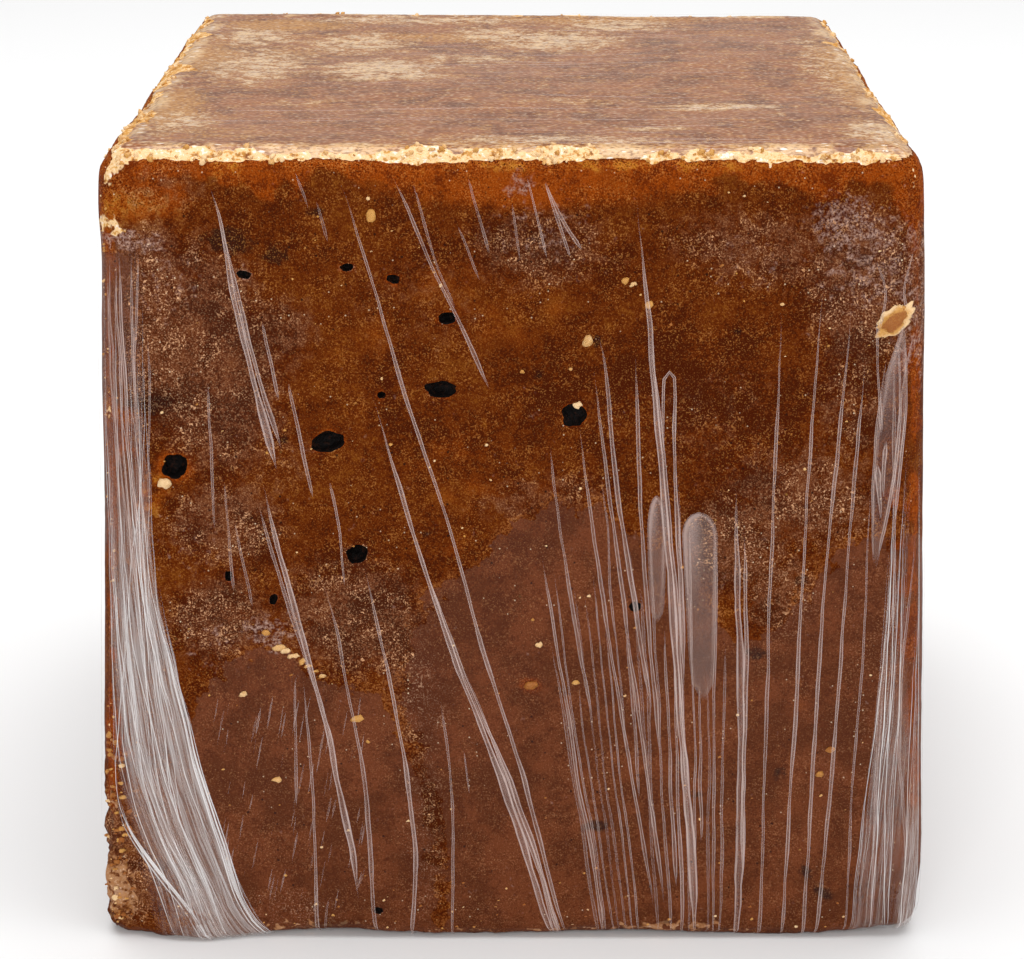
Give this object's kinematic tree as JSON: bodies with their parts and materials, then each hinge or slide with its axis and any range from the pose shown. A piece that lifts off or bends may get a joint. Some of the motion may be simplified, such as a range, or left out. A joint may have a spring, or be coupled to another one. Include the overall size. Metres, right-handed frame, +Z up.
{
  "type": "jaggery block",
  "caption": "Square block of dark brown jaggery with worn edges and air holes, drawn tight in clear cling film with long thin creases.",
  "frame": {"origin": "centre of the foot, on the table", "axes": "+Z up, -Y towards the front face with the air holes, +X to the right of someone who looks at it"},
  "size_m": [0.094, 0.095, 0.0907],
  "materials": {
    "jaggery": "granular brown sugar mass under tight clear film, glossy in patches",
    "film": "thin clear cling film with whitish creases"
  },
  "bodies": {
    "root": {"jaggery_block": "jaggery"}
  },
  "joints": []
}
